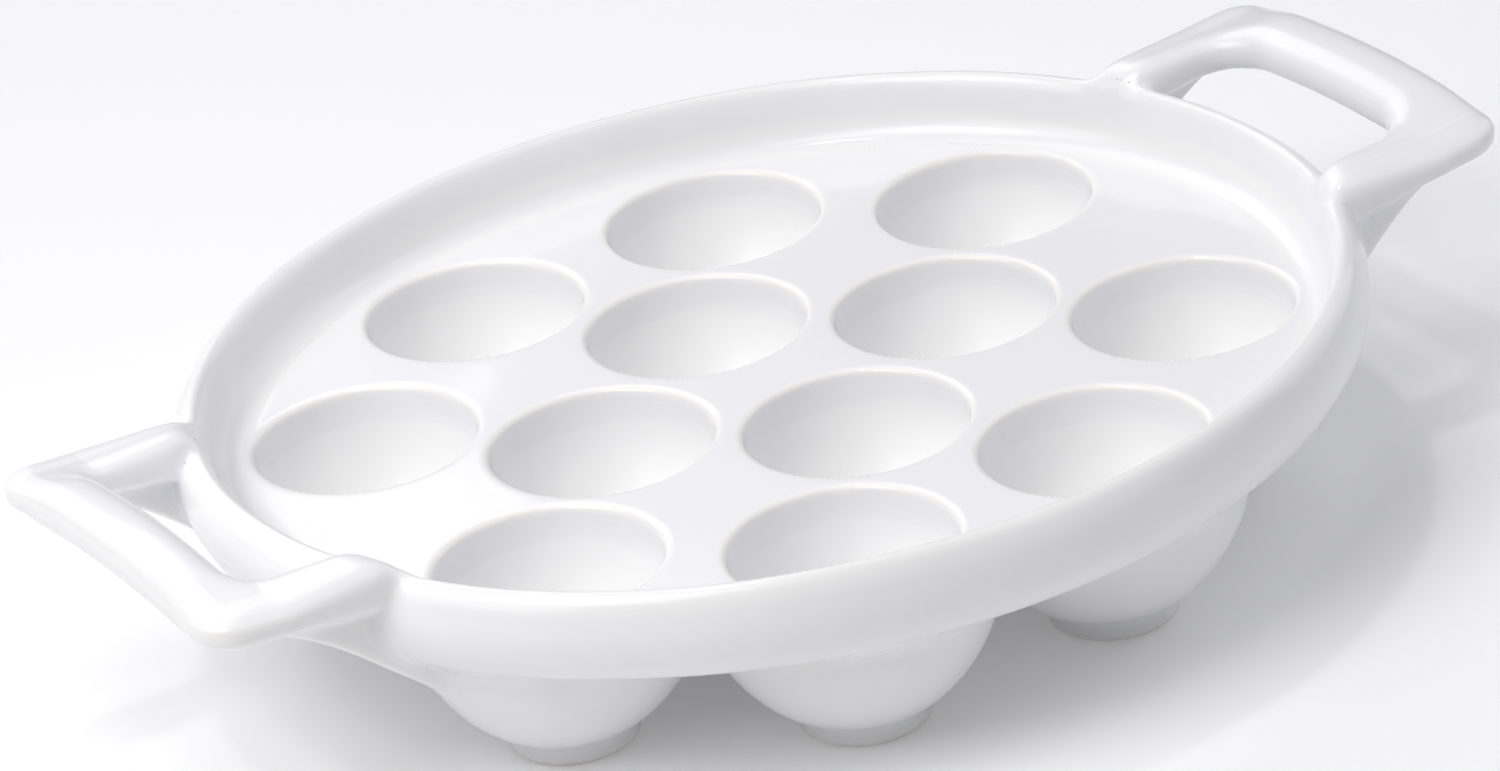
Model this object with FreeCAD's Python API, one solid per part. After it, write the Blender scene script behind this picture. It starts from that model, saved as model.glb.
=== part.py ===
import FreeCAD, Part
import math
import os

# An oval porcelain tray for twelve eggs: a rim wall round a flat deck, twelve bowls that hang
# under the deck, a foot ring under each bowl and a loop handle at each end.
# Frame: X along the handles, Y across, Z up. The origin is on the surface that the foot rings
# stand on, under the middle of the deck. Every length is in millimetres.

# Deck
DECK_TOP = 40.0
DECK_THICKNESS = 6.0
DECK_BOTTOM = DECK_TOP - DECK_THICKNESS
DECK_RADIUS = 113.6
WIDTH_TO_LENGTH = 117.3 / 126.5

# Rim wall, as a section through the long axis
WALL_TOP = 53.8
WALL_BOTTOM = 32.6
COVE_CORNER = 117.5
COVE_RADIUS = 4.5
LIP_INNER = 121.5
LIP_OUTER = 125.2
LIP_INNER_RADIUS = 2.2
LIP_OUTER_RADIUS = 2.6
BELLY_CORNER = 129.3
BELLY_HEIGHT = 43.3
BELLY_RADIUS = 12.0
EDGE_OUTER = 122.6
EDGE_INNER = 121.0
EDGE_RADIUS = 0.6
APRON_INNER = 120.4

# Egg cups: each mouth's centre is mirrored in X and Y
MOUTH_RADIUS = 24.0
MOUTH_ROUNDING = 1.2
CAVITY_DEPTH = 25.5
CAVITY_CENTRE = DECK_BOTTOM
BOWL_RADIUS = 31.8
BOWL_DEPTH = 36.2
BOWL_CENTRE = 37.1
NEAR_X, NEAR_Y = 30.3, 74.2
FAR_X, FAR_Y = 77.5, 38.0
MIDDLE_Y = 31.8
END_X = 42.4

# Foot rings
FOOT_HEIGHT = 4.4
FOOT_INNER = 9.6
FOOT_OUTER_ROUNDING = 1.6
FOOT_INNER_ROUNDING = 0.8

# Handles: a rounded section carried round a loop
GRIP_X = 149.5
GRIP_HALF_WIDTH = 39.7
GRIP_HEIGHT = 54.7
GRIP_ARCH = 3.5
GRIP_ARCH_REACH = 24.0
CORNER_RADIUS = 9.0
SECTION_WIDTH = 15.6
SECTION_THICKNESS = 10.2
SECTION_ROUNDING = 4.3
ROOT_X = 113.0
ROOT_Y = 41.3
ROOT_HEIGHT = 51.6
ROOT_LANDING = 122.4

# Flared roots under the arms: distance from the middle, lowest point and width
ROOT_FLARE = [(141.0, 49.6, 9.6), (133.0, 46.6, 9.8), (126.0, 40.4, 10.4), (116.0, 34.4, 12.0)]
FLARE_TOP = 55.5
FLARE_ROUNDING = 2.4

TALL = 200.0


def vec(x, y, z):
    return FreeCAD.Vector(x, y, z)


def corner_points(before, corner, after, radius):
    """Where an arc of this radius leaves and joins the two sides of a corner, and its middle."""
    side_in = (before - corner).normalize()
    side_out = (after - corner).normalize()
    half = side_in.getAngle(side_out) / 2
    reach = radius / math.tan(half)
    bisector = (side_in + side_out).normalize()
    middle = corner + bisector * (radius / math.sin(half) - radius)
    return corner + side_in * reach, middle, corner + side_out * reach


def rounded_edges(points, radii, closed):
    """Lines and tangent arcs along a polygon whose corners have these radii."""
    count = len(points)
    ends = []
    arcs = []
    for i, radius in enumerate(radii):
        open_end = not closed and i in (0, count - 1)
        if radius == 0 or open_end:
            ends.append((points[i], points[i]))
            arcs.append(None)
            continue
        first, middle, last = corner_points(points[i - 1], points[i], points[(i + 1) % count], radius)
        ends.append((first, last))
        arcs.append(Part.Arc(first, middle, last).toShape())
    edges = []
    for i in range(count):
        if arcs[i] is not None:
            edges.append(arcs[i])
        if i == count - 1 and not closed:
            break
        start = ends[i][1]
        end = ends[(i + 1) % count][0]
        if start.distanceToPoint(end) > 1e-6:
            edges.append(Part.makeLine(start, end))
    return edges


def revolved(points, radii):
    """A solid turned about Z from a rounded outline of (radius, height) points."""
    outline = rounded_edges([vec(r, 0, z) for r, z in points], radii, True)
    face = Part.Face(Part.Wire(outline))
    return face.revolve(vec(0, 0, 0), vec(0, 0, 1), 360)


def oval(shape):
    """A round solid narrowed in Y to the tray's outline."""
    squeeze = FreeCAD.Matrix()
    squeeze.scale(1, WIDTH_TO_LENGTH, 1)
    return shape.transformGeometry(squeeze)


def solid(shape):
    """The shape as one clean solid."""
    shape = shape.removeSplitter()
    if len(shape.Solids) != 1:
        raise ValueError(f"expected one solid, not {len(shape.Solids)}")
    return shape.Solids[0]


def cup_centres():
    """The twelve mouths, row by row from the back."""
    quarter = [(NEAR_X, NEAR_Y), (FAR_X, FAR_Y)]
    centres = [(sx * x, sy * y) for x, y in quarter for sx in (-1, 1) for sy in (-1, 1)]
    centres += [(0, MIDDLE_Y), (0, -MIDDLE_Y), (END_X, 0), (-END_X, 0)]
    return sorted(centres, key=lambda c: (-c[1], c[0]))


def bowl_radius_at(height):
    """How wide the outside of a bowl is at a height."""
    return BOWL_RADIUS * math.sqrt(1 - ((BOWL_CENTRE - height) / BOWL_DEPTH) ** 2)


def ellipse_arc(centre_height, across, down, top, bottom):
    """A quarter-ellipse outline of a bowl in the XZ plane, from one height down to another."""
    major, minor = (down, across) if down > across else (across, down)
    major_axis = vec(0, 0, 1) if down > across else vec(1, 0, 0)
    centre = vec(0, 0, centre_height)
    minor_axis = vec(1, 0, 0) if down > across else vec(0, 0, 1)
    curve = Part.Ellipse(centre + major_axis * major, centre + minor_axis * minor, centre)

    def point_at(height):
        drop = (centre_height - height) / down
        return vec(across * math.sqrt(max(1 - drop * drop, 0)), 0, height)

    start, end = point_at(top), point_at(bottom)
    first, last = sorted((curve.parameter(start), curve.parameter(end)))
    return curve.toShape(first, last), start, end


def rim_wall():
    points = [
        (DECK_RADIUS, DECK_TOP),
        (COVE_CORNER, DECK_TOP),
        (LIP_INNER, WALL_TOP),
        (LIP_OUTER, WALL_TOP),
        (BELLY_CORNER, BELLY_HEIGHT),
        (EDGE_OUTER, WALL_BOTTOM),
        (EDGE_INNER, WALL_BOTTOM),
        (APRON_INNER, DECK_BOTTOM),
        (DECK_RADIUS, DECK_BOTTOM),
    ]
    upper_radii = [0, COVE_RADIUS, LIP_INNER_RADIUS, LIP_OUTER_RADIUS, BELLY_RADIUS]
    lower_radii = [EDGE_RADIUS, EDGE_RADIUS, 0, 0]
    return solid(oval(revolved(points, upper_radii + lower_radii)))


def mouth_cutter():
    """The straight top of an egg cup, with its rounded edge flaring out to the deck."""
    above = DECK_TOP + 1
    edge = [
        vec(0, 0, DECK_BOTTOM - 1),
        vec(MOUTH_RADIUS, 0, DECK_BOTTOM - 1),
        vec(MOUTH_RADIUS, 0, DECK_TOP - MOUTH_ROUNDING),
    ]
    flare_end = vec(MOUTH_RADIUS + MOUTH_ROUNDING, 0, DECK_TOP)
    slant = MOUTH_ROUNDING * (1 - math.sqrt(0.5))
    flare_middle = vec(MOUTH_RADIUS + slant, 0, DECK_TOP - slant)
    tail = [flare_end, vec(MOUTH_RADIUS + MOUTH_ROUNDING, 0, above), vec(0, 0, above), edge[0]]
    edges = [Part.makeLine(a, b) for a, b in zip(edge, edge[1:])]
    edges.append(Part.Arc(edge[-1], flare_middle, flare_end).toShape())
    edges += [Part.makeLine(a, b) for a, b in zip(tail, tail[1:])]
    return Part.Face(Part.Wire(edges)).revolve(vec(0, 0, 0), vec(0, 0, 1), 360)


def deck_plate(centres):
    edge = Part.Ellipse(vec(0, 0, DECK_BOTTOM), DECK_RADIUS, DECK_RADIUS * WIDTH_TO_LENGTH)
    plate = Part.Face(Part.Wire(edge.toShape())).extrude(vec(0, 0, DECK_THICKNESS))
    cutter = mouth_cutter()
    holes = [cutter.translated(vec(x, y, 0)) for x, y in centres]
    return solid(plate.cut(holes))


def whole_bowl():
    """One bowl before its neighbours crowd it: an elliptic outside, an egg-round inside."""
    outside, outer_top, outer_foot = ellipse_arc(
        BOWL_CENTRE, BOWL_RADIUS, BOWL_DEPTH, DECK_BOTTOM, FOOT_HEIGHT
    )
    inside, inner_top, inner_bottom = ellipse_arc(
        CAVITY_CENTRE, MOUTH_RADIUS, CAVITY_DEPTH, CAVITY_CENTRE, CAVITY_CENTRE - CAVITY_DEPTH
    )
    base = vec(0, 0, FOOT_HEIGHT)
    edges = [
        outside,
        Part.makeLine(outer_foot, base),
        Part.makeLine(base, inner_bottom),
        inside,
        Part.makeLine(inner_top, outer_top),
    ]
    wire = Part.Wire(Part.sortEdges(edges)[0])
    return Part.Face(wire).revolve(vec(0, 0, 0), vec(0, 0, 1), 360)


def egg_cup(centre, centres, bowl):
    """A bowl cut off half-way to each neighbour that it would otherwise run into."""
    x, y = centre
    cup = bowl.translated(vec(x, y, 0))
    for other_x, other_y in centres:
        gap = math.hypot(other_x - x, other_y - y)
        if gap == 0 or gap >= 2 * BOWL_RADIUS:
            continue
        beyond = Part.makeBox(TALL, TALL, TALL, vec(gap / 2, -TALL / 2, -TALL / 2))
        beyond.rotate(vec(0, 0, 0), vec(0, 0, 1), math.degrees(math.atan2(other_y - y, other_x - x)))
        cup = cup.cut(beyond.translated(vec(x, y, 0)))
    return solid(cup)


def foot_ring(centre):
    outer = bowl_radius_at(FOOT_HEIGHT)
    points = [(FOOT_INNER, 0), (outer, 0), (outer, FOOT_HEIGHT), (FOOT_INNER, FOOT_HEIGHT)]
    ring = revolved(points, [FOOT_INNER_ROUNDING, FOOT_OUTER_ROUNDING, 0, 0])
    return ring.translated(vec(centre[0], centre[1], 0))


def upright_section(x, y, low, high, width, rounding):
    """A rounded rectangle that faces along X."""
    corners = [
        vec(x, y - width / 2, low),
        vec(x, y + width / 2, low),
        vec(x, y + width / 2, high),
        vec(x, y - width / 2, high),
    ]
    return Part.Wire(rounded_edges(corners, [rounding] * len(corners), True))


def handle_loop():
    """The grip and its two arms, as one section carried round the loop."""
    corner = vec(GRIP_X, GRIP_HALF_WIDTH, GRIP_HEIGHT)
    apex = vec(GRIP_X, 0, GRIP_HEIGHT + GRIP_ARCH)
    root = vec(ROOT_X, ROOT_Y, ROOT_HEIGHT)
    mirror = [vec(p.x, -p.y, p.z) for p in (corner, root)]
    route = [root, corner, apex] + mirror
    slope = math.atan2(GRIP_ARCH, GRIP_HALF_WIDTH)
    radii = [0, CORNER_RADIUS, GRIP_ARCH_REACH / math.tan(slope), CORNER_RADIUS, 0]
    spine = Part.Wire(rounded_edges(route, radii, False))
    half = SECTION_THICKNESS / 2
    section = upright_section(
        root.x, root.y, root.z - half, root.z + half, SECTION_WIDTH, SECTION_ROUNDING
    )
    sweep = Part.BRepOffsetAPI.MakePipeShell(spine)
    sweep.setBiNormalMode(vec(0, 0, 1))
    sweep.add(section)
    sweep.build()
    sweep.makeSolid()
    return sweep.shape()


def root_flare(side):
    """The web under one arm that spreads down the outside of the wall."""
    sections = []
    for x, low, width in ROOT_FLARE:
        y = ROOT_Y + (GRIP_HALF_WIDTH - ROOT_Y) * (x - ROOT_X) / (GRIP_X - ROOT_X)
        sections.append(upright_section(x, side * y, low, FLARE_TOP, width, FLARE_ROUNDING))
    return Part.makeLoft(sections, True, False)


def handle(rim, end):
    """A handle at one end of the tray, cut to lie on the lip and against the outside of the rim."""
    loop = handle_loop().fuse([root_flare(1), root_flare(-1)])
    landing = Part.Ellipse(vec(0, 0, 0), ROOT_LANDING, ROOT_LANDING * WIDTH_TO_LENGTH)
    within = Part.Face(Part.Wire(landing.toShape())).extrude(vec(0, 0, TALL))
    loop = solid(loop.cut([within, rim]))
    return loop if end > 0 else loop.mirror(vec(0, 0, 0), vec(1, 0, 0))


def main():
    os.makedirs("parts", exist_ok=True)
    centres = cup_centres()
    rim = rim_wall()
    pieces = {
        "rim_wall": rim,
        "deck_plate": deck_plate(centres),
        "handle_right": handle(rim, 1),
        "handle_left": handle(rim, -1),
    }
    bowl = whole_bowl()
    for number, centre in enumerate(centres, start=1):
        pieces[f"egg_cup_{number:02d}"] = egg_cup(centre, centres, bowl)
        pieces[f"foot_ring_{number:02d}"] = foot_ring(centre)
    for name, shape in pieces.items():
        if not shape.isValid():
            raise ValueError(f"{name} isn't a valid solid")
        shape.exportStep(f"parts/{name}.step")
        print(name, round(shape.Volume), shape.ShapeType)


main()
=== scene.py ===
import math

import bpy
import numpy as np
from mathutils import Matrix, Vector


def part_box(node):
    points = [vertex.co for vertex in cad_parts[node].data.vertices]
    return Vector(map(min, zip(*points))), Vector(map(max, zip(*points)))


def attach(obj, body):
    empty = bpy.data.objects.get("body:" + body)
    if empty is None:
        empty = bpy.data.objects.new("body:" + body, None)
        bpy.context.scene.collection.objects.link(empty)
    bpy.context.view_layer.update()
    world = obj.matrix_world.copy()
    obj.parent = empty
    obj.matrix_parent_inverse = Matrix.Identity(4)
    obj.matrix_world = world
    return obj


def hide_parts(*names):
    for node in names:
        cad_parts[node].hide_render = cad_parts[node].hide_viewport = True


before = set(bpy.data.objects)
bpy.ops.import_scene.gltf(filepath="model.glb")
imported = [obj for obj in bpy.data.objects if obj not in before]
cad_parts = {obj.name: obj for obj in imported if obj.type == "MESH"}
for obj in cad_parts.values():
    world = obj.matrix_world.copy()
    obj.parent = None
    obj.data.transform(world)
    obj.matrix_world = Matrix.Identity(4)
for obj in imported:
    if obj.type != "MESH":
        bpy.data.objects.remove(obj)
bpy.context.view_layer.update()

# An oval glazed porcelain tray for twelve eggs. The glaze flows over every joint, so the whole
# skin is one smooth field of distances. It is meshed once and shared out to the pieces of the
# frame, which then meet edge to edge with the same normals. The shape is worked in millimetres.
# It is the same in both mirror directions, but for the left handle's inner corners and the slow
# unevenness of the hand finish.

MM = 0.001


def millimetres(corner):
    """A corner of one of the frame's boxes, in millimetres."""
    return np.array(corner) / MM


# Sizes taken from the frame
RIM_LOW, RIM_HIGH = (millimetres(c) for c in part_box("rim_wall"))
DECK_LOW, DECK_HIGH = (millimetres(c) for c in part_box("deck_plate"))
HANDLE_HIGH = millimetres(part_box("handle_right")[1])
FEET = sorted(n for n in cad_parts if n.startswith("foot_ring_"))
CUPS = sorted(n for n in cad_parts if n.startswith("egg_cup_"))
FOOT_BOXES = [[millimetres(c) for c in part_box(n)] for n in FEET]
CENTRES = [(low[:2] + high[:2]) / 2 for low, high in FOOT_BOXES]
FOOT_OUTER = (FOOT_BOXES[0][1][0] - FOOT_BOXES[0][0][0]) / 2
FOOT_TOP = FOOT_BOXES[0][1][2]
WALL_TOP = RIM_HIGH[2]
WALL_BOTTOM = RIM_LOW[2]
DECK_TOP = DECK_HIGH[2]
DECK_BOTTOM = DECK_LOW[2]
DECK_RADIUS = DECK_HIGH[0]
NARROWING = DECK_HIGH[1] / DECK_HIGH[0]

# Rim wall, as a section through the long axis
BELLY_RADIUS = 14.3
BELLY_CENTRE = RIM_HIGH[0] - BELLY_RADIUS
BELLY_HEIGHT = DECK_TOP + 4.2
WALL_FOOT = 117.5
WALL_SPREAD = 3.5
WALL_LEAN = math.atan2(WALL_SPREAD, WALL_TOP - DECK_TOP)
APRON_INNER = 120.5
EDGE_SOFTNESS = 3.2
COVE_REACH = 8.5

# The lip's softening takes its sink off its top, which ends at the wall's
LIP_SOFTNESS = 5.5
LIP_INNER_SOFTNESS = 9.0
LIP_SINK = 3.8

# Egg cups, and how far from a cup's axis its bowl and mouth are looked for
MOUTH_RADIUS = 23.4
MOUTH_SOFTNESS = 2.6
CAVITY_TOP = DECK_TOP - 1.0
CAVITY_DEPTH = 30.5
BOWL_RADIUS = 31.8
BOWL_DEPTH = 36.2
BOWL_HEIGHT = DECK_TOP - 2.9
BOWL_OVERLAP = 1.0
BOWL_FILLET = 5.0
BOWL_REACH = 38
MOUTH_REACH = 28
MOUTH_HEADROOM = 4

# Foot rings
FOOT_INNER = 9.6
FOOT_OVERLAP = 3.0
FOOT_FILLET = 2.4
FOOT_SOFTNESS = 3.2

# Handles
GRIP_HALF_WIDTH = 7.6
GRIP_HALF_HEIGHT = 5.25
ARM_HALF_WIDTH = 8.1
ARM_HALF_HEIGHT = 3.9
ARM_GROWTH = 0.08
ARM_TAPER = 0.12
SECTION_POWER = 2.45
GRIP_X = HANDLE_HIGH[0] - GRIP_HALF_WIDTH
GRIP_BOW = -0.2
GRIP_ARCH = 2.7
GRIP_DROP = 7.3
GRIP_HEIGHT = HANDLE_HIGH[2] - GRIP_DROP
CORNER_Y = 40.3
OUTER_CORNER = 8.8
INNER_CORNER_LEFT_FRONT = 7.0
INNER_CORNER_LEFT_BACK = 2.5
INNER_CORNER_RIGHT = 10.5
CORNER_SPREAD = 16.0
ARM_START = 10
ARM_LENGTH = 30
ARM_SPLAY = 0.025
ARM_FALL = 0.09
LANDING_RADIUS = 122.3
LANDING_SOFTNESS = 9.5
ROOT_FILLET = 4.0
WEB_HALF_WIDTH = 2.3
WEB_SLOPE = math.radians(41.6)
WEB_X, WEB_Z = 120.6, 35.1
WEB_END = 104.0
WEB_INNER = 123.0
WEB_SOFTNESS = 3.6
WEB_FLARE = 12.5
WEB_FILLET = 3.0

# Where the handles are looked for, and the seams round their roots
HANDLE_REACH = 95.0
HANDLE_SPAN = 64.0
SEAM_BIAS = 0.5
SEAM_ROUNDING = 1
SEAM_SOFTNESS = 3.0

# Meshing: the grid, the rounds of settling, and how far a point may leave its cell's middle
STEP = 0.85
MARGIN = 4.0
SLOPE_GAP = 0.05
SETTLING = 3
UNTANGLING = 5
CELL_REACH = 0.8
FOLD_LIMIT = 0.02
CURVATURE_REACH = 0.9
CURVATURE_GAIN = 1.6

# The least values that a division may meet
LEAST_LENGTH = 1e-6
LEAST_AREA = 1e-12
LEAST_SLOPE = 0.05
LEAST_SECTION = 1e-3
LEAST_SECTION_SLOPE = 0.02


# ---------------------------------------------------------------- the shape as a distance field

def blend_min(a, b, reach):
    """Two solids joined by a soft fillet that starts this far from their corner."""
    near = np.maximum(reach - np.abs(a - b), 0) / reach
    return np.minimum(a, b) - near**3 * reach / 6


def blend_max(a, b, reach):
    """What two solids share, with its edge softened."""
    return -blend_min(-a, -b, reach)


def oval_radius(x, y):
    """The half-length of the oval through a point."""
    return np.hypot(x, y / NARROWING)


def wall_field(radius, z):
    """The rim: a bellied outside, a leaning inside, a rounded lip and a fine lower edge."""
    belly = np.hypot(radius - BELLY_CENTRE, z - BELLY_HEIGHT) - BELLY_RADIUS
    inside = (z - DECK_TOP) * math.sin(WALL_LEAN) - (radius - WALL_FOOT) * math.cos(WALL_LEAN)
    wall = blend_max(belly, z - WALL_TOP - LIP_SINK, LIP_SOFTNESS)
    wall = blend_max(wall, inside, LIP_INNER_SOFTNESS)
    wall = blend_max(wall, WALL_BOTTOM - z, EDGE_SOFTNESS)
    return np.maximum(wall, np.minimum(APRON_INNER - radius, DECK_BOTTOM - z))


def ellipsoid_field(across, along, wide, deep):
    """Roughly the distance to an ellipsoid's skin."""
    scaled = np.hypot(across / wide, along / deep)
    steep = np.hypot(across / wide**2, along / deep**2)
    return scaled * (scaled - 1) / np.maximum(steep, LEAST_LENGTH)


def bowl_field(r, z):
    """The outside of one bowl, with its foot ring and the hollow inside the ring."""
    bowl = ellipsoid_field(r, z - BOWL_HEIGHT, BOWL_RADIUS, BOWL_DEPTH)
    bowl = np.maximum(bowl, z - DECK_BOTTOM - BOWL_OVERLAP)
    bowl = blend_max(bowl, FOOT_TOP - z, FOOT_SOFTNESS)
    middle = (FOOT_OUTER + FOOT_INNER) / 2
    ring = np.abs(r - middle) - (FOOT_OUTER - FOOT_INNER) / 2
    ring = np.maximum(blend_max(ring, -z, FOOT_SOFTNESS), z - FOOT_TOP - FOOT_OVERLAP)
    return blend_min(bowl, ring, FOOT_FILLET)


def cavity_field(r, z):
    """The hollow that holds an egg: half an ellipsoid with an upright edge."""
    return ellipsoid_field(r, np.minimum(z - CAVITY_TOP, 0), MOUTH_RADIUS, CAVITY_DEPTH)


def rounded_corner(a, b, radius):
    """What two half-spaces share, with a round corner."""
    past = np.hypot(np.maximum(a + radius, 0), np.maximum(b + radius, 0))
    return past + np.minimum(np.maximum(a, b), -radius)


def section_field(across, up, half_width, half_height):
    """Roughly the distance to a bar's section, between an ellipse and a rounded oblong.

    Across is measured outwards from the bar's edge, and up from its middle.
    """
    power = SECTION_POWER
    wide = np.maximum(1 + across / half_width, LEAST_SECTION)
    tall = np.maximum(np.abs(up) / half_height, LEAST_SECTION)
    scaled = (wide**power + tall**power) ** (1 / power)
    steep = np.hypot(wide ** (power - 1) / half_width, tall ** (power - 1) / half_height)
    return (scaled - 1) / np.maximum(steep * scaled ** (1 - power), LEAST_SECTION_SLOPE)


def handle_field(x, y, z):
    """A handle's flattened bar along its loop, and the webs under its arms."""
    left_corner = np.where(y < 0, INNER_CORNER_LEFT_FRONT, INNER_CORNER_LEFT_BACK)
    inner_corner = np.where(x < 0, left_corner, INNER_CORNER_RIGHT)
    x = np.abs(x)
    y = np.abs(y)
    middle = 1 - np.minimum(y / CORNER_Y, 1) ** 2
    grip = x - GRIP_X - GRIP_BOW * middle
    arm = y - CORNER_Y - ARM_SPLAY * (GRIP_X - x)
    toward_rim = np.clip(GRIP_X - ARM_START - x, 0, ARM_LENGTH)
    taper = ARM_TAPER * toward_rim
    outline = rounded_corner(grip - GRIP_HALF_WIDTH, arm - ARM_HALF_WIDTH + taper, OUTER_CORNER)
    hole = rounded_corner(grip + GRIP_HALF_WIDTH, arm + ARM_HALF_WIDTH, inner_corner)
    turn = np.clip((y - CORNER_Y) / CORNER_SPREAD + 1, 0, 1)
    turn = turn**2 * (3 - 2 * turn)
    half_width = GRIP_HALF_WIDTH + (ARM_HALF_WIDTH - GRIP_HALF_WIDTH) * turn - taper * turn / 2
    half_height = GRIP_HALF_HEIGHT + (ARM_HALF_HEIGHT - GRIP_HALF_HEIGHT) * turn
    half_height += ARM_GROWTH * toward_rim
    height = GRIP_HEIGHT - ARM_FALL * (GRIP_X - x) + GRIP_ARCH * middle
    loop = section_field(np.maximum(outline, -hole), z - height, half_width, half_height)
    slant = (x - WEB_X) * math.sin(WEB_SLOPE) - (z - WEB_Z) * math.cos(WEB_SLOPE)
    profile = blend_min(np.abs(z - height) - half_height, slant, WEB_FLARE)
    web = blend_max(profile, np.abs(arm) - WEB_HALF_WIDTH, WEB_SOFTNESS)
    web = np.maximum(web, np.maximum(z - height, grip))
    radius = oval_radius(x, y)
    web = np.maximum(web, np.where(z < DECK_BOTTOM, WEB_END - x, WEB_INNER - radius))
    loop = blend_max(loop, LANDING_RADIUS - radius, LANDING_SOFTNESS)
    return blend_min(loop, web, WEB_FILLET)


def hand_finish(x, y, z):
    """The slow unevenness of a cast and dipped piece, a tenth of a millimetre or so."""
    above_foot = np.clip(z / FOOT_TOP, 0, 1)
    swell = 0.07 * np.sin(x / 17 + 0.6) * np.sin(y / 21 - 1.1)
    wave = 0.05 * np.sin((x + y) / 12 + z / 15)
    cross_wave = 0.03 * np.sin((x - 2 * y) / 16 - z / 9)
    return above_foot * (swell + wave + cross_wave)


def close_to(centre, x, y, reach, low_enough):
    """Which of the points are near a cup's axis, and how far they are from it."""
    across = np.abs(x - centre[0])
    along = np.abs(y - centre[1])
    near = np.nonzero((across < reach) & (along < reach) & low_enough)
    return near, np.hypot(across[near], along[near])


def tray_field(x, y, z):
    """The tray without its handles."""
    radius = oval_radius(x, y)
    middle = (DECK_TOP + DECK_BOTTOM) / 2
    half_thickness = (DECK_TOP - DECK_BOTTOM) / 2
    deck = np.maximum(np.abs(z - middle) - half_thickness, radius - WALL_FOOT)
    tray = blend_min(wall_field(radius, z), deck, COVE_REACH)
    for centre in CENTRES:
        near, r = close_to(centre, x, y, BOWL_REACH, z < DECK_TOP)
        tray[near] = blend_min(tray[near], bowl_field(r, z[near]), BOWL_FILLET)
    for centre in CENTRES:
        near, r = close_to(centre, x, y, MOUTH_REACH, z < DECK_TOP + MOUTH_HEADROOM)
        tray[near] = blend_max(tray[near], -cavity_field(r, z[near]), MOUTH_SOFTNESS)
    return tray


def full_field(x, y, z):
    """The whole tray's distance field, in millimetres."""
    tray = tray_field(x, y, z)
    near = np.nonzero((np.abs(x) > HANDLE_REACH) & (np.abs(y) < HANDLE_SPAN))
    handle = handle_field(x[near], y[near], z[near])
    tray[near] = blend_min(tray[near], handle, ROOT_FILLET)
    return tray + hand_finish(x, y, z)


def field_and_slope(points, field):
    """The field at some points, and its gradient, from four samples around each."""
    corners = np.array([(1, 1, 1), (1, -1, -1), (-1, 1, -1), (-1, -1, 1)], float)
    total = 0
    slope = np.zeros_like(points)
    for corner in corners:
        sample = field(*(points + corner * SLOPE_GAP).T)
        total = total + sample
        slope += sample[:, None] * corner
    return total / len(corners), slope / (len(corners) * SLOPE_GAP)


def skin_direction(points):
    """The way straight out of the skin at each point, as a unit vector."""
    _, slope = field_and_slope(points, full_field)
    return slope / np.maximum(np.linalg.norm(slope, axis=1), LEAST_LENGTH)[:, None]


# ---------------------------------------------------------------- which piece owns which stretch

OUTSIDE, RIM, DECK, HANDLE_LEFT, HANDLE_RIGHT = range(5)
FIRST_CUP = HANDLE_RIGHT + 1
FIRST_FOOT = FIRST_CUP + len(CUPS)
ABOVE_ALL_LABELS = 127
PIECES = {
    RIM: "rim_wall",
    DECK: "deck_plate",
    HANDLE_LEFT: "handle_left",
    HANDLE_RIGHT: "handle_right",
}
PIECES.update({FIRST_CUP + i: name for i, name in enumerate(CUPS)})
PIECES.update({FIRST_FOOT + i: name for i, name in enumerate(FEET)})


def handle_cut(x, y, z):
    """Positive where a handle has left the rim."""
    radius = oval_radius(x, y)
    near = handle_field(x, y, z)
    near = (near + np.hypot(near, SEAM_ROUNDING)) / 2
    away = wall_field(radius, z) - SEAM_BIAS * near
    return blend_min(away, radius - LANDING_RADIUS, SEAM_SOFTNESS)


def rim_cut(x, y):
    """Positive outside the deck's edge, where the rim begins."""
    return oval_radius(x, y) - DECK_RADIUS


def apron_cut(x, y):
    """Positive outside the bowls, where the rim hangs below the deck."""
    return oval_radius(x, y) - APRON_INNER


def owners(x, y, z):
    """The piece that each point inside the tray belongs to."""
    nearest = np.argmin([np.hypot(x - cx, y - cy) for cx, cy in CENTRES], 0)
    below = np.where(z < FOOT_TOP, FIRST_FOOT + nearest, FIRST_CUP + nearest)
    below = np.where(apron_cut(x, y) > 0, RIM, below)
    above = np.where(rim_cut(x, y) > 0, RIM, DECK)
    owner = np.where(z < DECK_BOTTOM, below, above)
    handle = (np.abs(x) > HANDLE_REACH) & (np.abs(y) < HANDLE_SPAN) & (handle_cut(x, y, z) > 0)
    return np.where(handle, np.where(x > 0, HANDLE_RIGHT, HANDLE_LEFT), owner)


def cup_of(label):
    """The number of the cup that a cup or foot belongs to."""
    return np.where(label >= FIRST_FOOT, label - FIRST_FOOT, label - FIRST_CUP)


def centre_at(number):
    """The cups' centres by their numbers."""
    return np.array(CENTRES).T[:, number]


def parting(lower, upper, x, y, z):
    """How far each point is from the face where its two pieces, lower label first, part."""
    one = centre_at(cup_of(np.maximum(lower, FIRST_CUP)))
    two = centre_at(cup_of(np.maximum(upper, FIRST_CUP)))
    halfway = np.hypot(x - one[0], y - one[1]) - np.hypot(x - two[0], y - two[1])
    among_cups = np.where(cup_of(lower) == cup_of(upper), FOOT_TOP - z, halfway)
    level = z - DECK_BOTTOM
    skirt = apron_cut(x, y)
    outer = np.where((lower == RIM) & (np.abs(skirt) < np.abs(level)), skirt, level)
    gap = np.where(lower >= FIRST_CUP, among_cups, outer)
    gap = np.where((lower == RIM) & (upper == DECK), rim_cut(x, y), gap)
    at_handle = (lower == RIM) & ((upper == HANDLE_LEFT) | (upper == HANDLE_RIGHT))
    return np.where(at_handle, handle_cut(x, y, z), gap)


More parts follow.
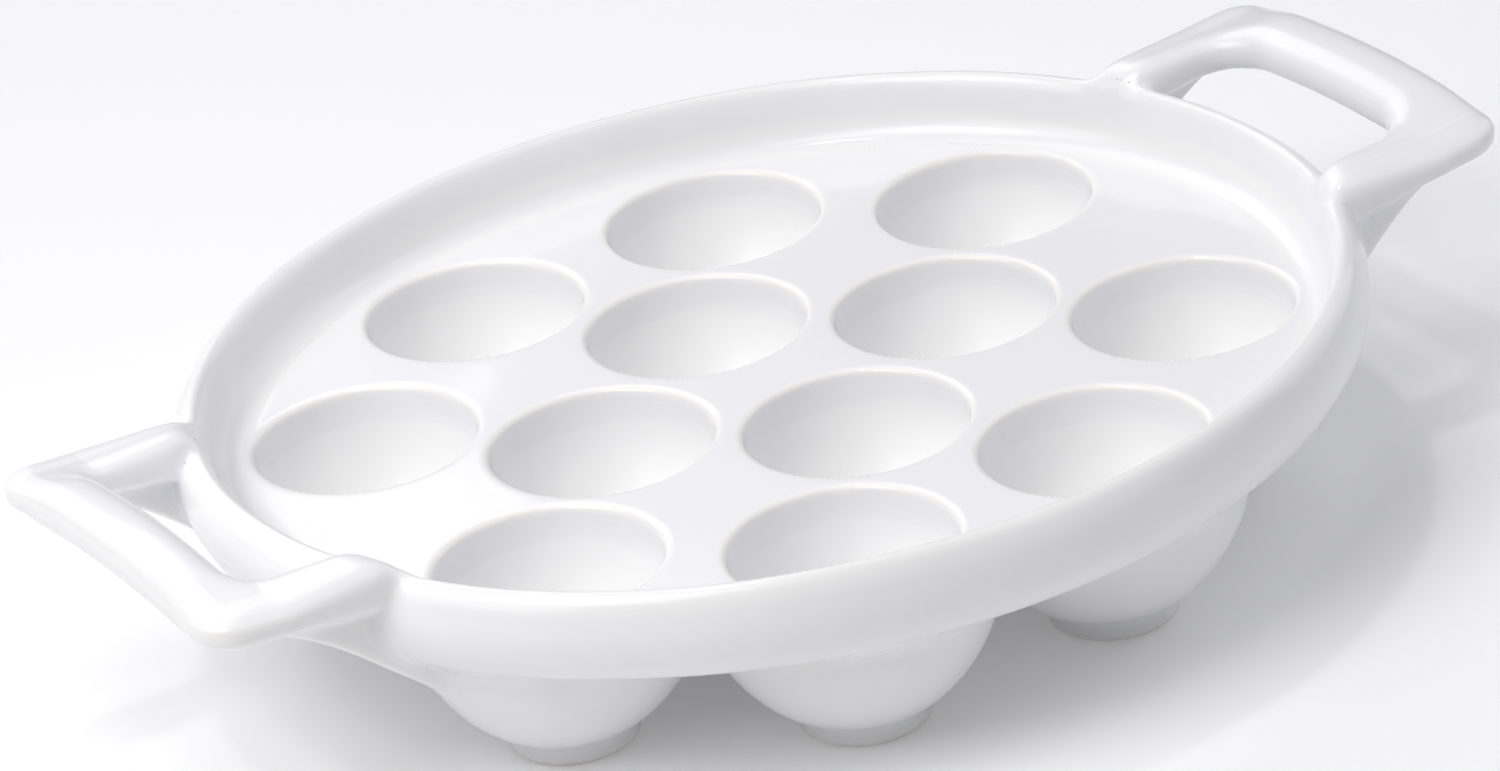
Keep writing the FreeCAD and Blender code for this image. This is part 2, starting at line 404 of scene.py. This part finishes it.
# ---------------------------------------------------------------- meshing

def grid_axes():
    """The grid's steps along x, y and z, with a margin round the tray."""
    low = np.array([-HANDLE_HIGH[0] - MARGIN, RIM_LOW[1] - MARGIN, -MARGIN])
    high = np.array([HANDLE_HIGH[0] + MARGIN, RIM_HIGH[1] + MARGIN, HANDLE_HIGH[2] + MARGIN])
    return [np.arange(a, b + STEP, STEP) for a, b in zip(low, high)]


# A cell's eight corners, and the pairs of them that an edge joins
CORNERS = [(i, j, k) for i in (0, 1) for j in (0, 1) for k in (0, 1)]
EDGES = [(a, b) for a in range(8) for b in range(a + 1, 8)
         if sum(abs(p - q) for p, q in zip(CORNERS[a], CORNERS[b])) == 1]


def grid_origin(axes):
    """The grid's lowest corner."""
    return np.array([a[0] for a in axes])


def label_grid(axes):
    """The field and the owner at each grid point, layer by layer."""
    shape = [len(a) for a in axes]
    values = np.empty(shape, np.float32)
    labels = np.zeros(shape, np.int8)
    x, y = (a.ravel() for a in np.meshgrid(axes[0], axes[1], indexing="ij"))
    for k, height in enumerate(axes[2]):
        z = np.full_like(x, height)
        layer = full_field(x, y, z)
        inside = np.nonzero(layer < 0)
        label = np.zeros(len(x), np.int8)
        label[inside] = owners(x[inside], y[inside], z[inside])
        values[:, :, k] = layer.reshape(shape[:2])
        labels[:, :, k] = label.reshape(shape[:2])
    return values, labels


def mixed_cells(labels):
    """Numbers the cells whose corners don't all belong to one piece."""
    inner = [slice(None, -1), slice(1, None)]
    low = high = labels[:-1, :-1, :-1]
    for i, j, k in CORNERS:
        corner = labels[inner[i], inner[j], inner[k]]
        low = np.minimum(low, corner)
        high = np.maximum(high, corner)
    mixed = low != high
    number = np.full(mixed.shape, -1, np.int32)
    number[mixed] = np.arange(mixed.sum())
    return number, np.argwhere(mixed)


def first_guess(cells, values, labels, axes):
    """Each cell's point: the middle of the places where its edges change owner."""
    corner_values = np.stack([values[tuple((cells + c).T)] for c in CORNERS], 1)
    corner_labels = np.stack([labels[tuple((cells + c).T)] for c in CORNERS], 1)
    total = np.zeros((len(cells), 3))
    count = np.zeros(len(cells))
    skin = (corner_labels == OUTSIDE).any(1)
    for a, b in EDGES:
        value_a, value_b = corner_values[:, a], corner_values[:, b]
        label_a, label_b = corner_labels[:, a], corner_labels[:, b]
        surface = (label_a == OUTSIDE) != (label_b == OUTSIDE)
        crossing = np.where(skin, surface, label_a != label_b)
        span = np.where(surface, value_a - value_b, 1)
        share = np.where(surface, value_a / np.where(span == 0, 1, span), 0.5)
        start, end = np.array(CORNERS[a]), np.array(CORNERS[b])
        point = start + share[:, None] * (end - start)
        total += np.where(crossing[:, None], point, 0)
        count += crossing
    local = total / np.maximum(count, 1)[:, None]
    return grid_origin(axes) + (cells + local) * STEP, corner_labels, skin


def owner_pairs(corner_labels):
    """The lowest and highest piece in each cell."""
    inside = np.where(corner_labels == OUTSIDE, ABOVE_ALL_LABELS, corner_labels)
    return inside.min(1).astype(int), corner_labels.max(1).astype(int)


def onto_skin(points, which):
    """Moves some of the points onto the skin, straight along the field's slope."""
    value, slope = field_and_slope(points[which], full_field)
    move = slope * (value / np.maximum((slope**2).sum(1), LEAST_SLOPE))[:, None]
    points[which] -= np.clip(move, -STEP / 2, STEP / 2)


def settle(points, centres, corner_labels, skin, quads, one, two):
    """Moves the points onto the skin and the faces where pieces part, and gives their normals."""
    first, second = owner_pairs(corner_labels)
    seam = np.nonzero(first != second)[0]
    lower, upper = first[seam], second[seam]
    skin_at = np.nonzero(skin)[0]

    def keep_near(which):
        low = centres[which] - CELL_REACH * STEP
        high = centres[which] + CELL_REACH * STEP
        points[which] = np.clip(points[which], low, high)

    def seam_gap(x, y, z):
        return parting(lower, upper, x, y, z)

    onto_skin(points, skin_at)
    keep_near(skin_at)
    loose = points.copy()
    for _ in range(SETTLING):
        onto_skin(points, skin_at)
        keep_near(skin_at)
        gap, way = field_and_slope(points[seam], seam_gap)
        normal = skin_direction(points[seam])
        way = way - normal * (skin[seam] * (way * normal).sum(1))[:, None]
        move = way * (gap / np.maximum((way**2).sum(1), LEAST_SLOPE))[:, None]
        points[seam] -= np.clip(move, -STEP, STEP)
        keep_near(seam)
    onto_skin(points, skin_at)
    faces = np.concatenate([quads[two == OUTSIDE], quads[one == OUTSIDE][:, ::-1]])
    for _ in range(UNTANGLING):
        normals = skin_normals(points, skin_at)
        folded = np.unique(faces[face_folds(faces, points, normals)])
        points[folded] = (points[folded] + loose[folded]) / 2
        onto_skin(points, folded)
    return skin_normals(points, skin_at)


def skin_normals(points, skin_at):
    """The glaze's normal at each point of the skin, and zero at the points inside."""
    normals = np.zeros_like(points)
    normals[skin_at] = skin_direction(points[skin_at])
    return normals


def face_folds(faces, points, normals):
    """Which faces have a corner that turns away from the skin."""
    corner = points[faces]
    worst = np.full(len(faces), np.inf)
    for k in range(4):
        ahead = corner[:, (k + 1) % 4] - corner[:, k]
        back = corner[:, k - 1] - corner[:, k]
        turn = (np.cross(ahead, back) * normals[faces[:, k]]).sum(1)
        worst = np.minimum(worst, turn)
    return worst < -FOLD_LIMIT * STEP**2


def all_quads(number, labels):
    """One four-sided face for each grid edge that joins two owners: its corners and owners."""
    quads = []
    for axis in range(3):
        u, v = (axis + 1) % 3, (axis + 2) % 3
        size = labels.shape
        start = [slice(1, -1)] * 3
        start[axis] = slice(0, size[axis] - 1)
        end = list(start)
        end[axis] = slice(1, size[axis])
        one, two = labels[tuple(start)], labels[tuple(end)]
        where = np.argwhere(one != two)
        offset = np.ones(3, int)
        offset[axis] = 0
        node = where + offset
        corners = []
        for back_u, back_v in ((1, 1), (0, 1), (0, 0), (1, 0)):
            cell = node.copy()
            cell[:, u] -= back_u
            cell[:, v] -= back_v
            corners.append(number[tuple(cell.T)])
        index = tuple(where.T)
        quads.append((np.stack(corners, 1), one[index].astype(int), two[index].astype(int)))
    return [np.concatenate(parts) for parts in zip(*quads)]


def edge_curvature(points):
    """How sharply the skin turns: up to 1 on an edge, down to -1 in a hollow."""
    middle = full_field(*points.T)
    around = sum(full_field(*(points + sign * CURVATURE_REACH * axis).T)
                 for axis in np.eye(3) for sign in (-1, 1))
    return np.clip((around - 6 * middle) / CURVATURE_REACH**2 * CURVATURE_GAIN, -1, 1)


def piece_mesh(name, faces, skin_faces, points, normals, curvature):
    """A closed mesh of one piece, with the glaze's normals where it is outside."""
    used, faces = np.unique(faces, return_inverse=True)
    faces = faces.reshape(-1, 4)
    local = points[used] * MM
    mesh = bpy.data.meshes.new(name)
    mesh.vertices.add(len(local))
    mesh.vertices.foreach_set("co", local.ravel())
    mesh.loops.add(faces.size)
    mesh.loops.foreach_set("vertex_index", faces.ravel())
    mesh.polygons.add(len(faces))
    mesh.polygons.foreach_set("loop_start", np.arange(0, faces.size, 4))
    mesh.polygons.foreach_set("loop_total", np.full(len(faces), 4))
    mesh.polygons.foreach_set("use_smooth", np.ones(len(faces), bool))
    mesh.update(calc_edges=True)
    corner = local[faces]
    flat = np.cross(corner[:, 2] - corner[:, 0], corner[:, 3] - corner[:, 1])
    flat /= np.maximum(np.linalg.norm(flat, axis=1), LEAST_AREA)[:, None]
    smooth = normals[used][faces]
    split = np.where(skin_faces[:, None, None], smooth, flat[:, None, :])
    mesh.normals_split_custom_set(split.reshape(-1, 3))
    # The skin's curvature, which the glaze colour turns into painted shade in hollows and painted
    # light inside the cups
    layer = mesh.attributes.new("curvature", "FLOAT", "POINT")
    layer.data.foreach_set("value", curvature[used].astype(np.float32))
    return mesh


# ---------------------------------------------------------------- materials

# The glaze's colour with painted shade and light, from 0 in a tight hollow through 0.5 on the flat
# to 1 on a sharp edge
GLAZE_AND_SHADE_TINTS = [
    # bluish in tight hollows: a painted shade colour
    (0.32, (0.884, 0.887, 0.915, 1)),
    # lighter and neutral in the cups' gentle hollows: painted light that lifts their shade
    (0.42, (0.915, 0.913, 0.902, 1)),
    (0.5, (0.89, 0.89, 0.906, 1)),
    (0.78, (0.898, 0.895, 0.89, 1)),
    # warm where the glaze thins on a sharp edge
    (1.0, (0.9, 0.872, 0.835, 1)),
]

# How far above the ground the foot is bare, and where its glaze is whole, in metres
BARE_BELOW = 0.0003
GLAZED_ABOVE = 0.0007


def new_material(name):
    """A material with its nodes and links."""
    material = bpy.data.materials.new(name)
    material.use_nodes = True
    return material, material.node_tree.nodes, material.node_tree.links


def colour_ramp(nodes, stops):
    """A ramp through some positions and colours, from low to high."""
    ramp = nodes.new("ShaderNodeValToRGB")
    elements = ramp.color_ramp.elements
    for element, (position, colour) in zip((elements[0], elements[1]), (stops[0], stops[-1])):
        element.position = position
        element.color = colour
    for position, colour in stops[1:-1]:
        elements.new(position).color = colour
    return ramp


def noise(nodes, links, place, scale, detail=2):
    """Soft noise fixed to the object."""
    node = nodes.new("ShaderNodeTexNoise")
    node.inputs["Scale"].default_value = scale
    node.inputs["Detail"].default_value = detail
    links.new(place.outputs["Object"], node.inputs["Vector"])
    return node


def bump(nodes, links, height, strength, distance):
    """A bump of the surface by a height."""
    node = nodes.new("ShaderNodeBump")
    node.inputs["Strength"].default_value = strength
    node.inputs["Distance"].default_value = distance
    links.new(height, node.inputs["Height"])
    return node


def glaze_and_shade_colour(nodes, links, place):
    """White, bluish in hollows as painted shade, lighter inside the cups as painted light, warm
    where the glaze thins on an edge, and a little cloudy.
    """
    edge = nodes.new("ShaderNodeAttribute")
    edge.attribute_name = "curvature"
    shift = nodes.new("ShaderNodeMath")
    shift.operation = "MULTIPLY_ADD"
    shift.inputs[1].default_value = 0.5
    shift.inputs[2].default_value = 0.5
    links.new(edge.outputs["Fac"], shift.inputs[0])
    # The ramp paints bluish shade into tight hollows and lighter, neutral light into the cups
    tone = colour_ramp(nodes, GLAZE_AND_SHADE_TINTS)
    links.new(shift.outputs[0], tone.inputs["Fac"])
    cloud = noise(nodes, links, place, scale=18, detail=4)
    wash = colour_ramp(nodes, [(0, (0.965, 0.968, 0.98, 1)), (1, (1, 1, 1, 1))])
    links.new(cloud.outputs["Fac"], wash.inputs["Fac"])
    tint = nodes.new("ShaderNodeMix")
    tint.data_type = "RGBA"
    tint.blend_type = "MULTIPLY"
    tint.inputs["Factor"].default_value = 1
    links.new(tone.outputs["Color"], tint.inputs["A"])
    links.new(wash.outputs["Color"], tint.inputs["B"])
    return tint


def glaze_relief(nodes, links, place):
    """Faint ripples in the glaze, and a few pinholes."""
    ripple = noise(nodes, links, place, scale=60)
    wave = bump(nodes, links, ripple.outputs["Fac"], strength=0.25, distance=0.0004)
    pits = nodes.new("ShaderNodeTexVoronoi")
    pits.inputs["Scale"].default_value = 90
    links.new(place.outputs["Object"], pits.inputs["Vector"])
    pit = colour_ramp(nodes, [(0, (0, 0, 0, 1)), (0.035, (1, 1, 1, 1))])
    links.new(pits.outputs["Distance"], pit.inputs["Fac"])
    pin = bump(nodes, links, pit.outputs["Color"], strength=0.35, distance=0.00015)
    links.new(wave.outputs["Normal"], pin.inputs["Normal"])
    return pin


def glaze_material(name, bare_foot=False):
    """White porcelain under a glaze between satin and gloss."""
    material, nodes, links = new_material(name)
    shader = nodes["Principled BSDF"]
    shader.inputs["Roughness"].default_value = 0.35
    shader.inputs["IOR"].default_value = 1.5
    shader.inputs["Specular IOR Level"].default_value = 0.32
    shader.inputs["Coat Weight"].default_value = 0.45
    shader.inputs["Coat Roughness"].default_value = 0.05
    shader.inputs["Coat IOR"].default_value = 1.5
    place = nodes.new("ShaderNodeTexCoord")
    tint = glaze_and_shade_colour(nodes, links, place)
    links.new(tint.outputs["Result"], shader.inputs["Base Color"])
    pin = glaze_relief(nodes, links, place)
    links.new(pin.outputs["Normal"], shader.inputs["Normal"])
    if bare_foot:
        add_bare_edge(nodes, links, shader, tint, place)
    return material


def add_bare_edge(nodes, links, shader, tint, place):
    """The wiped edge that stands in the kiln: unglazed, a little rough and warmer."""
    split = nodes.new("ShaderNodeSeparateXYZ")
    links.new(place.outputs["Object"], split.inputs["Vector"])
    low = nodes.new("ShaderNodeMapRange")
    low.inputs["From Min"].default_value = GLAZED_ABOVE
    low.inputs["From Max"].default_value = BARE_BELOW
    links.new(split.outputs["Z"], low.inputs["Value"])
    grain = noise(nodes, links, place, scale=900)
    bare = colour_ramp(nodes, [(0, (0.74, 0.715, 0.67, 1)), (1, (0.83, 0.81, 0.77, 1))])
    links.new(grain.outputs["Fac"], bare.inputs["Fac"])
    mix = nodes.new("ShaderNodeMix")
    mix.data_type = "RGBA"
    links.new(low.outputs["Result"], mix.inputs["Factor"])
    links.new(tint.outputs["Result"], mix.inputs["A"])
    links.new(bare.outputs["Color"], mix.inputs["B"])
    links.new(mix.outputs["Result"], shader.inputs["Base Color"])
    rough = nodes.new("ShaderNodeMapRange")
    rough.inputs["To Min"].default_value = 0.2
    rough.inputs["To Max"].default_value = 0.75
    links.new(low.outputs["Result"], rough.inputs["Value"])
    links.new(rough.outputs["Result"], shader.inputs["Roughness"])


def floor_material():
    """A plain pale surface with a faint tooth."""
    material, nodes, links = new_material("pale_floor")
    shader = nodes["Principled BSDF"]
    shader.inputs["Roughness"].default_value = 0.9
    shader.inputs["Specular IOR Level"].default_value = 0.1
    shader.inputs["Emission Color"].default_value = (1, 1, 1, 1)
    shader.inputs["Emission Strength"].default_value = 0.13
    grain = nodes.new("ShaderNodeTexNoise")
    grain.inputs["Scale"].default_value = 4
    tone = colour_ramp(nodes, [(0, (0.805, 0.806, 0.812, 1)), (1, (0.825, 0.825, 0.83, 1))])
    links.new(grain.outputs["Fac"], tone.inputs["Fac"])
    links.new(tone.outputs["Color"], shader.inputs["Base Color"])
    return material


# ---------------------------------------------------------------- the tray

def build_tray():
    """Meshes the whole skin, shares it out and puts each piece in the frame's place."""
    axes = grid_axes()
    values, labels = label_grid(axes)
    number, cells = mixed_cells(labels)
    points, corner_labels, skin = first_guess(cells, values, labels, axes)
    centres = grid_origin(axes) + (cells + 0.5) * STEP
    quads, one, two = all_quads(number, labels)
    normals = settle(points, centres, corner_labels, skin, quads, one, two)
    curvature = edge_curvature(points)
    glaze = glaze_material("porcelain_glaze")
    foot = glaze_material("porcelain_foot", bare_foot=True)
    for label, node in PIECES.items():
        ahead = one == label
        behind = two == label
        faces = np.concatenate([quads[ahead], quads[behind][:, ::-1]])
        skin_faces = np.concatenate([two[ahead] == OUTSIDE, one[behind] == OUTSIDE])
        mesh = piece_mesh(node + "_glazed", faces, skin_faces, points, normals, curvature)
        piece = bpy.data.objects.new(node + "_glazed", mesh)
        bpy.context.scene.collection.objects.link(piece)
        is_foot = node in FEET
        mesh.materials.append(foot if is_foot else glaze)
        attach(piece, "root")
        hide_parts(node)


# ---------------------------------------------------------------- camera, floor and lights

CAMERA_AZIMUTH = math.radians(-28.11)
CAMERA_ELEVATION = math.radians(26.22)
CAMERA_ROLL = math.radians(-8.25)
CAMERA_DISTANCE = 1.542
CAMERA_TARGET = Vector((-0.0069, -0.0013, DECK_TOP * MM))
CAMERA_LENS = 177.98
CAMERA_SENSOR = 36
CAMERA_NEAREST = 0.05


def add_camera():
    """The photo's camera, solved from the twelve round mouths."""
    back = Vector((
        math.sin(CAMERA_AZIMUTH) * math.cos(CAMERA_ELEVATION),
        -math.cos(CAMERA_AZIMUTH) * math.cos(CAMERA_ELEVATION),
        math.sin(CAMERA_ELEVATION),
    ))
    level = (-back).cross(Vector((0, 0, 1))).normalized()
    upright = level.cross(-back)
    right = level * math.cos(CAMERA_ROLL) + upright * math.sin(CAMERA_ROLL)
    up = upright * math.cos(CAMERA_ROLL) - level * math.sin(CAMERA_ROLL)
    camera = bpy.data.objects.new("camera", bpy.data.cameras.new("camera"))
    camera.data.lens = CAMERA_LENS
    camera.data.sensor_width = CAMERA_SENSOR
    camera.data.clip_start = CAMERA_NEAREST
    turn = Matrix((right, up, back)).transposed().to_4x4()
    camera.matrix_world = Matrix.Translation(CAMERA_TARGET + back * CAMERA_DISTANCE) @ turn
    bpy.context.scene.collection.objects.link(camera)
    bpy.context.scene.camera = camera


def add_floor():
    """A floor at the height of the feet."""
    mesh = bpy.data.meshes.new("floor")
    half = 4.0
    corners = [(-half, -half, 0), (half, -half, 0), (half, half, 0), (-half, half, 0)]
    mesh.from_pydata(corners, [], [(0, 1, 2, 3)])
    mesh.materials.append(floor_material())
    floor = bpy.data.objects.new("floor", mesh)
    bpy.context.scene.collection.objects.link(floor)


def softbox(name, azimuth, elevation, distance, size, power, colour=(1, 1, 1)):
    """A square area light on a sphere around the tray, aimed at its middle."""
    turn, rise = math.radians(azimuth), math.radians(elevation)
    middle = Vector((0, 0, DECK_TOP * MM))
    way = Vector((math.cos(rise) * math.cos(turn), math.cos(rise) * math.sin(turn), math.sin(rise)))
    light = bpy.data.lights.new(name, "AREA")
    light.size = size
    light.energy = power
    light.color = colour
    lamp = bpy.data.objects.new(name, light)
    lamp.location = middle + way * distance
    lamp.rotation_euler = (-way).to_track_quat("-Z", "Y").to_euler()
    bpy.context.scene.collection.objects.link(lamp)


def add_lights():
    """Softboxes all round, as name, azimuth, elevation, distance, size and power, and a dim sky."""
    softbox("key", 198, 60, 1.1, 0.7, 6.1, (1.0, 0.985, 0.965))
    softbox("top", 90, 80, 1.1, 0.09, 1.2, (1.0, 0.99, 0.98))
    softbox("left", 182, 40, 1.1, 0.8, 4.1, (0.98, 0.98, 1.0))
    softbox("right", 4, 22, 1.1, 0.8, 2.4, (0.93, 0.935, 1.0))
    softbox("back", 86, 45, 1.1, 0.7, 2.8, (0.95, 0.95, 1.0))
    softbox("back_low", 95, 12, 2.4, 1.9, 9.0, (0.93, 0.94, 1.0))
    softbox("front", 318, 55, 1.1, 0.7, 1.6, (0.94, 0.945, 1.0))
    softbox("front_low", 295, 8, 2.4, 1.7, 7.2, (0.96, 0.97, 1.0))
    world = bpy.data.worlds.new("studio")
    world.use_nodes = True
    sky = world.node_tree.nodes["Background"]
    sky.inputs["Color"].default_value = (0.95, 0.965, 1.0, 1)
    sky.inputs["Strength"].default_value = 0.06
    bpy.context.scene.world = world


add_camera()
add_floor()
add_lights()
build_tray()
bpy.context.scene.view_settings.view_transform = "Standard"
